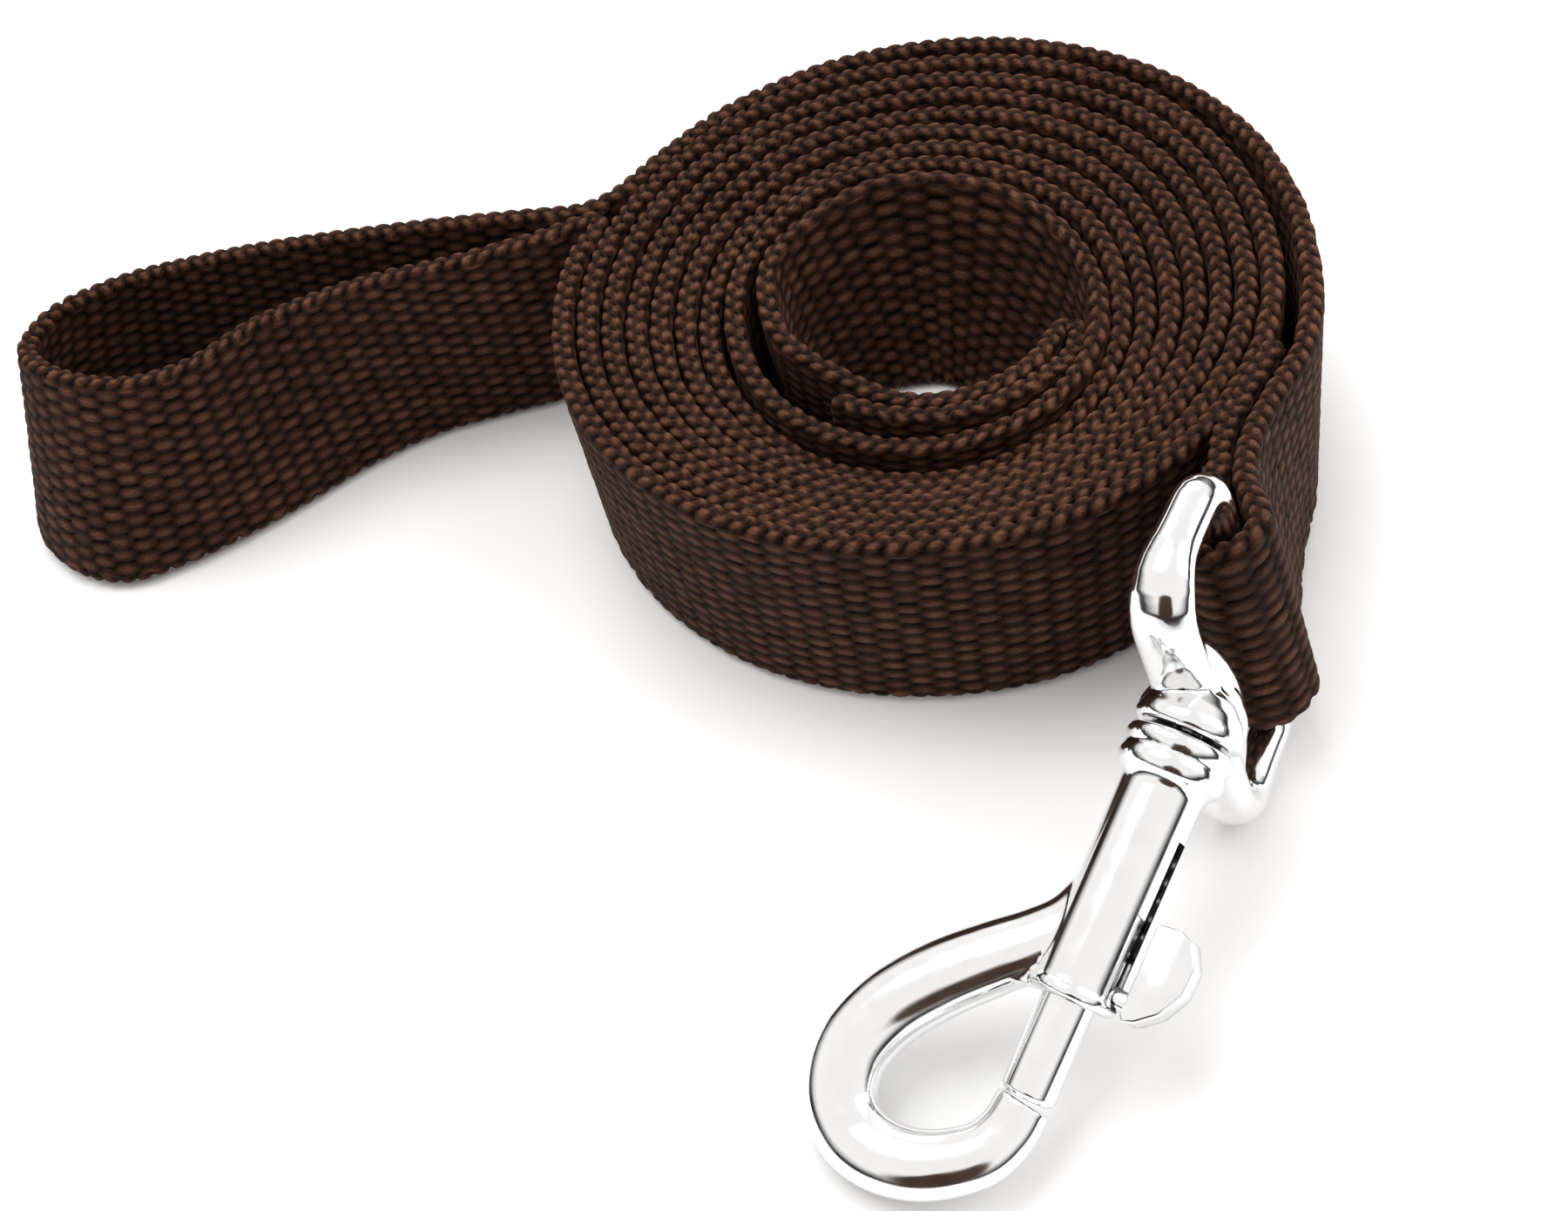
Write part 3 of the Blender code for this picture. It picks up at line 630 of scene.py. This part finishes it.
def make_strap(mat):
    low, high, at = whole_strap()
    middle = (low + high) / 2
    theta = np.degrees(np.arctan2(middle[:, 1], middle[:, 0]))
    radius = np.hypot(middle[:, 0], middle[:, 1])

    def first(test, after):
        return after + int(np.argmax(test[after:]))

    to_coil = first((theta > 2) & (theta < 30) & (radius < 41), 0)
    to_loop = first((middle[:, 0] < -36.5) & (radius > 40.2), to_coil + 50)
    from_loop = first((theta > 164) & (radius < 41.6) & (middle[:, 1] < 12), to_loop + 200)
    one_turn = int(2 * math.pi * 37.5 / STEP)
    cuts = {
        "strap_snap_end": (0, to_coil),
        "strap_outer_layer": (to_coil, to_loop),
        "strap_hand_loop": (to_loop, from_loop),
        "strap_first_turn": (from_loop, from_loop + one_turn),
    }
    left = np.linspace(from_loop + one_turn, len(at) - 1, 4).astype(int)
    for i, (a, b) in enumerate(zip(left, left[1:])):
        cuts[f"strap_inner_turns_{i + 1}"] = (int(a), int(b))
    fine = rows(0.33)
    plain = rows(3.4, 19.5, 0.55)
    outlines = {
        "strap_snap_end": section(fine, fine, 9, 5),
        "strap_outer_layer": section(fine, plain, 9, 5),
        "strap_hand_loop": section(fine, fine, 9, 5),
        "strap_first_turn": section(fine, plain, 9, 5),
        "strap_inner_turns_1": section(plain, plain, 9, 5),
        "strap_inner_turns_2": section(plain, plain, 9, 5),
        "strap_inner_turns_3": section(rows(1.2, 14.0, 0.5), rows(0.36), 9, 5),
    }
    replaced = {
        "strap_snap_end": "snap_strap",
        "strap_hand_loop": "hand_loop",
        "strap_first_turn": "webbing_coil",
    }
    for name, (a, b) in cuts.items():
        obj = band(name, low[a : b + 1], high[a : b + 1], at[a : b + 1], outlines[name], mat)
        if name in replaced:
            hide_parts(replaced[name])


# ---------------------------------------------------------------- the snap


def raw_mesh(bm):
    """Vertices and faces of a bmesh as plain lists."""
    bm.verts.ensure_lookup_table()
    verts = [tuple(v.co) for v in bm.verts]
    faces = [[v.index for v in f.verts] for f in bm.faces]
    bm.free()
    return verts, faces


def turned(profile, steps=96, closed=False):
    """Turns an outline of (x, r) pairs about X. An open outline starts and ends on the axis."""
    bm = bmesh.new()
    verts = [bm.verts.new((x, 0.0, r)) for x, r in profile]
    pairs = list(zip(verts, verts[1:]))
    if closed:
        pairs.append((verts[-1], verts[0]))
    edges = [bm.edges.new(pair) for pair in pairs]
    bmesh.ops.spin(
        bm, geom=verts + edges, axis=(1, 0, 0), cent=(0, 0, 0), steps=steps, angle=math.tau, use_merge=True
    )
    bmesh.ops.remove_doubles(bm, verts=bm.verts, dist=1e-4)
    bmesh.ops.recalc_face_normals(bm, faces=bm.faces)
    bm.verts.index_update()
    return raw_mesh(bm)


def rounded_profile(points, radius=0.25, steps=3):
    """The outline with each inside corner eased by a short arc of points."""
    eased = [points[0]]
    for a, b, c in zip(points, points[1:], points[2:]):
        a, b, c = np.array(a), np.array(b), np.array(c)
        back, on = a - b, c - b
        reach = min(radius, 0.4 * np.linalg.norm(back), 0.4 * np.linalg.norm(on))
        p = b + back / max(np.linalg.norm(back), 1e-9) * reach
        q = b + on / max(np.linalg.norm(on), 1e-9) * reach
        for t in np.linspace(0, 1, steps + 1):
            eased.append(tuple((1 - t) ** 2 * p + 2 * t * (1 - t) * b + t**2 * q))
    eased.append(points[-1])
    return eased


def wire(path, across, deep, sides=32, cyclic=False, side_axis=(0, 0, 1)):
    """A bar along a path. Its half width is across along side_axis, and deep the other way."""
    path = np.asarray(path, float)
    n = len(path)
    if cyclic:
        along = np.roll(path, -1, 0) - np.roll(path, 1, 0)
    else:
        along = np.gradient(path, axis=0)
    along /= np.linalg.norm(along, axis=1)[:, None]
    axis = np.array(side_axis, float)
    other = np.cross(axis, along)
    other /= np.linalg.norm(other, axis=1)[:, None]
    across, deep = np.broadcast_to(across, n), np.broadcast_to(deep, n)
    angle = np.linspace(0, math.tau, sides, endpoint=False)
    ring = (
        path[:, None]
        + (axis[None, None] * np.cos(angle)[None, :, None] * across[:, None, None])
        + other[:, None] * (np.sin(angle)[None, :, None] * deep[:, None, None])
    )
    index = np.arange(n * sides).reshape(n, sides)
    a = index if cyclic else index[:-1]
    b = np.roll(index, -1, 0) if cyclic else index[1:]
    quads = np.stack([a, b, np.roll(b, -1, 1), np.roll(a, -1, 1)], -1).reshape(-1, 4).tolist()
    if not cyclic:
        quads += [index[0].tolist(), index[-1][::-1].tolist()]
    return ring.reshape(-1, 3).tolist(), quads


def block(outline, low, high):
    """A flat outline in X and Y, extruded from low to high in Z."""
    n = len(outline)
    verts = [(x, y, low) for x, y in outline] + [(x, y, high) for x, y in outline]
    faces = [list(range(n))[::-1], list(range(n, 2 * n))]
    faces += [[i, (i + 1) % n, n + (i + 1) % n, n + i] for i in range(n)]
    return verts, faces


def object_from(name, shapes):
    verts, faces = [], []
    for shape_verts, shape_faces in shapes:
        start = len(verts)
        verts += shape_verts
        faces += [[i + start for i in f] for f in shape_faces]
    mesh = bpy.data.meshes.new(name)
    mesh.from_pydata(verts, [], faces)
    bm = bmesh.new()
    bm.from_mesh(mesh)
    bmesh.ops.recalc_face_normals(bm, faces=bm.faces)
    bm.to_mesh(mesh)
    bm.free()
    obj = bpy.data.objects.new(name, mesh)
    bpy.context.scene.collection.objects.link(obj)
    return obj


def bake(obj):
    """Applies the object's modifiers."""
    bpy.context.view_layer.update()
    mesh = bpy.data.meshes.new_from_object(obj.evaluated_get(bpy.context.evaluated_depsgraph_get()))
    old = obj.data
    obj.modifiers.clear()
    obj.data = mesh
    bpy.data.meshes.remove(old)


def cut(obj, tool_shape):
    tool = object_from(obj.name + "_tool", [tool_shape])
    cutting = obj.modifiers.new("cut", "BOOLEAN")
    cutting.operation = "DIFFERENCE"
    cutting.solver = "EXACT"
    cutting.object = tool
    bake(obj)
    bpy.data.objects.remove(tool, do_unlink=True)


def cast(name, shapes, voxel, smooth, tools=()):
    """Shapes run together into one casting with soft inside corners, then cut by the tools."""
    obj = object_from(name, shapes)
    remesh = obj.modifiers.new("casting", "REMESH")
    remesh.mode = "VOXEL"
    remesh.voxel_size = voxel
    soften = obj.modifiers.new("soften", "SMOOTH")
    soften.factor = 0.5
    soften.iterations = smooth
    bake(obj)
    for tool in tools:
        cut(obj, tool)
    return obj


def settle(obj, matrix, mat, body, node, angle=40):
    """Takes a piece from its own frame in millimetres to its place, and rides it on its body."""
    turn = Matrix.Identity(4)
    for i in range(3):
        for j in range(3):
            turn[i][j] = matrix[i][j] * MM
        turn[i][3] = (SWIVEL[i] + COIL_CENTRE[i]) * MM
    obj.data.transform(turn)
    obj.data.materials.clear()
    obj.data.materials.append(mat)
    obj.data.shade_smooth()
    obj.data.set_sharp_from_angle(angle=math.radians(angle))
    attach(obj, body)
    if node:
        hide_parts(node)
    return obj


def eye_path():
    """The eye's line in its own X (axis) and Z (bar) plane, with rounded corners."""
    bar_x, bar_r = EYE_BASE + EYE_DEPTH, EYE_WIRE * 1.3
    pivots = [
        (EYE_BASE + EYE_CORNER, EYE_CORNER - EYE_HALF, EYE_CORNER),
        (EYE_BASE + EYE_CORNER, EYE_HALF - EYE_CORNER, EYE_CORNER),
        (bar_x - bar_r, EYE_HALF - bar_r, bar_r),
        (bar_x - bar_r, bar_r - EYE_HALF, bar_r),
    ]
    points = []
    for corner, (x, z, r) in enumerate(pivots):
        for k in range(7):
            a = math.radians(270 - 90 * corner - 15 * k)
            points.append((x + r * math.cos(a), 0, z + r * math.sin(a)))
    path = np.array(points)
    dense = []
    for a, b in zip(path, np.roll(path, -1, 0)):
        steps = max(1, int(np.linalg.norm(b - a) / 0.5))
        dense += [a + (b - a) * t / steps for t in range(steps)]
    return np.array(dense)


def make_eye(mat):
    path = eye_path()
    near_base = np.exp(-(((path[:, 0] - EYE_BASE) / 4.0) ** 2))
    wide = EYE_WIRE * (1 + 0.42 * near_base)
    loop = wire(path, wide, EYE_WIRE, 32, cyclic=True, side_axis=(0, 1, 0))
    skirt = [
        (11.0, 0.0), (10.8, 1.6), (10.1, 3.0), (9.0, 4.1), (7.6, 4.8), (6.3, 5.1), (5.6, 5.05), (5.2, 4.7),
        (5.1, NECK_R), (2.31, NECK_R),
    ]
    neck_ends = math.asin(NECK_R / BALL_R) + 0.1
    ball = [(BALL_R * math.cos(a), BALL_R * math.sin(a)) for a in np.linspace(neck_ends, math.pi, 16)[:-1]]
    shank = turned(rounded_profile(skirt, 0.2) + ball + [(-BALL_R, 0.0)])
    hub_line = catmull([(7.4, 0, -9.5), (8.7, 0, -5.5), (9.6, 0, 0), (8.7, 0, 5.5), (7.4, 0, 9.5)], 8)
    taper = (hub_line[:, 2] / 9.5) ** 2
    hub = wire(hub_line, 3.4 - 0.9 * taper, 3.1 - 1.5 * taper, 32, side_axis=(0, 1, 0))
    # a skirt on the barrel's own axis sits just clear of the collar all the way round
    bell = [
        (-8.9, 0.0), (-8.7, 1.6), (-7.8, 3.1), (-6.6, 4.2), (-5.4, 4.9), (-4.6, 5.1), (-4.05, 4.95),
        (-3.8, 4.5), (-3.8, 1.3), (-2.6, 1.3), (-2.0, 0.0),
    ]
    bell_verts, bell_faces = turned(bell)
    bell_verts = (np.array(bell_verts) @ (EYE_FRAME.T @ SNAP_FRAME).T).tolist()
    obj = cast("eye_casting", [loop, shank, hub, (bell_verts, bell_faces)], 0.2, 6)
    return settle(obj, EYE_FRAME, mat, "eye", "swivel_eye", angle=60)


def make_snap_body(mat):
    outer = [
        (COLLAR_X, 4.3), (-3.15, 4.85), (-2.5, 5.1), (-1.8, 4.85), (-1.5, 4.45), (-1.2, 4.8), (-0.5, 5.0),
        (0.3, 4.75), (0.9, 4.1), (1.5, BARREL_R), (20.4, BARREL_R), (20.75, 4.12), (21.4, 4.1),
        (BARREL_END, 3.7),
    ]
    inner = [(BARREL_END, BORE_R), (-1.2, BORE_R), (-1.2, 3.5), (-2.2, 3.5), (-2.2, 2.7), (COLLAR_X, 3.3)]
    barrel = turned(outer + inner, closed=True)
    points = [
        (10.5, -0.9, 0.9), (13.2, -1.5, 0.95), (16.0, -2.7, 1.0), (18.6, -5.0, 1.05),
        (21.3, -7.9, 1.12), (24.9, -11.5, 1.18), (29.3, -14.8, 1.21), (34.0, -16.4, 1.21),
        (38.0, -15.6, 1.18), (40.5, -12.9, 1.12), (41.0, -9.4, 1.08), (39.9, -5.6, 1.02),
        (37.2, -1.9, 0.94), (34.4, -0.4, 0.88), (31.3, 0.0, 0.836),
    ]
    line = catmull(points, 8)
    path = np.column_stack([line[:, 0], line[:, 1], np.zeros(len(line))])
    thick = np.maximum(HOOK_R * line[:, 2], HOOK_TIP_R)
    hook = wire(path, thick * HOOK_FLATTEN, thick, 40)
    web = block([(13.6, -3.0), (17.4, -5.4), (22.6, -7.0), (22.0, -3.2)], -1.6, 1.6)
    bore = turned([(5.0, 0.0), (5.0, BORE_R + 0.03), (31.0, BORE_R + 0.03), (31.0, 0.0)])
    slot = block([(5.3, 0.0), (21.1, 0.0), (21.1, 6.0), (5.3, 6.0)], -1.3, 1.3)
    obj = cast("snap_casting", [barrel, hook, web], 0.2, 5, [bore, slot])
    return settle(obj, SNAP_FRAME, mat, "snap", "snap_body", angle=50)


def make_spring(mat):
    share = np.linspace(0, 1, SPRING_TURNS * 40 + 1)
    angle = math.tau * SPRING_TURNS * share
    along = SPRING_SEAT + (SPRING_END - SPRING_SEAT) * share
    path = np.stack([along, SPRING_R * np.cos(angle), SPRING_R * np.sin(angle)], 1)
    obj = object_from("return_spring", [wire(path, SPRING_WIRE, SPRING_WIRE, 12, side_axis=(1, 0, 0))])
    settle(obj, SNAP_FRAME, mat, "snap", "bolt_spring")
    # 13.05 long at rest, it shortens to 4.05, within the 4.35 that the bolt leaves when drawn right back
    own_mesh(obj)


def make_plunger(mat):
    outline = [
        (BOLT_REAR, 0.0), (BOLT_REAR, BOLT_R - 0.3), (BOLT_REAR + 0.3, BOLT_R),
        (BOLT_FRONT - 0.45, BOLT_R), (BOLT_FRONT, BOLT_R - 0.4), (BOLT_FRONT, 0.0),
    ]
    obj = object_from("bolt_pin", [turned(rounded_profile(outline, 0.15))])
    return settle(obj, SNAP_FRAME, mat, "bolt", "bolt_plunger")


def make_thumb_stud(mat):
    outline = [
        (21.2, 4.9), (21.6, 5.4), (21.2, 6.4), (19.8, 8.0), (17.4, 9.2), (14.9, 9.3), (12.8, 8.2),
        (12.3, 7.0), (12.6, 4.9),
    ]
    pad = object_from("thumb_pad", [block(outline, -THUMB_HALF, THUMB_HALF)])
    rounding = pad.modifiers.new("rounded", "BEVEL")
    rounding.width = 0.55
    rounding.segments = 3
    rounding.limit_method = "ANGLE"
    rounding.angle_limit = math.radians(25)
    bake(pad)
    stem_line = [(19.9, 1.0, 0), (19.9, 3.0, 0), (19.9, 5.6, 0)]
    stem = object_from("stem", [wire(stem_line, 1.0, 1.0, 32, side_axis=(0, 0, 1))])
    joined = pad.modifiers.new("stem", "BOOLEAN")
    joined.operation = "UNION"
    joined.solver = "EXACT"
    joined.object = stem
    bake(pad)
    bpy.data.objects.remove(stem, do_unlink=True)
    return settle(pad, SNAP_FRAME, mat, "bolt", "thumb_stud")


def paint_node(node, mat):
    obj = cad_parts[node]
    obj.data.materials.clear()
    obj.data.materials.append(mat)


# ---------------------------------------------------------------- everything together


make_camera()
make_studio()
webbing = webbing_material()
plated = metal_material("bright_plating", (0.93, 0.93, 0.93), 0.07, 0.16, 0.00003)
steel = metal_material("spring_steel", (0.56, 0.56, 0.57), 0.25, 0.4, 0.00001)
thread = thread_material()
make_strap(webbing)
make_eye(plated)
make_snap_body(plated)
make_spring(steel)
make_plunger(plated)
make_thumb_stud(plated)
paint_node("seat_washer", steel)
for thread_node in ("loop_stitching", "snap_stitching"):
    paint_node(thread_node, thread)
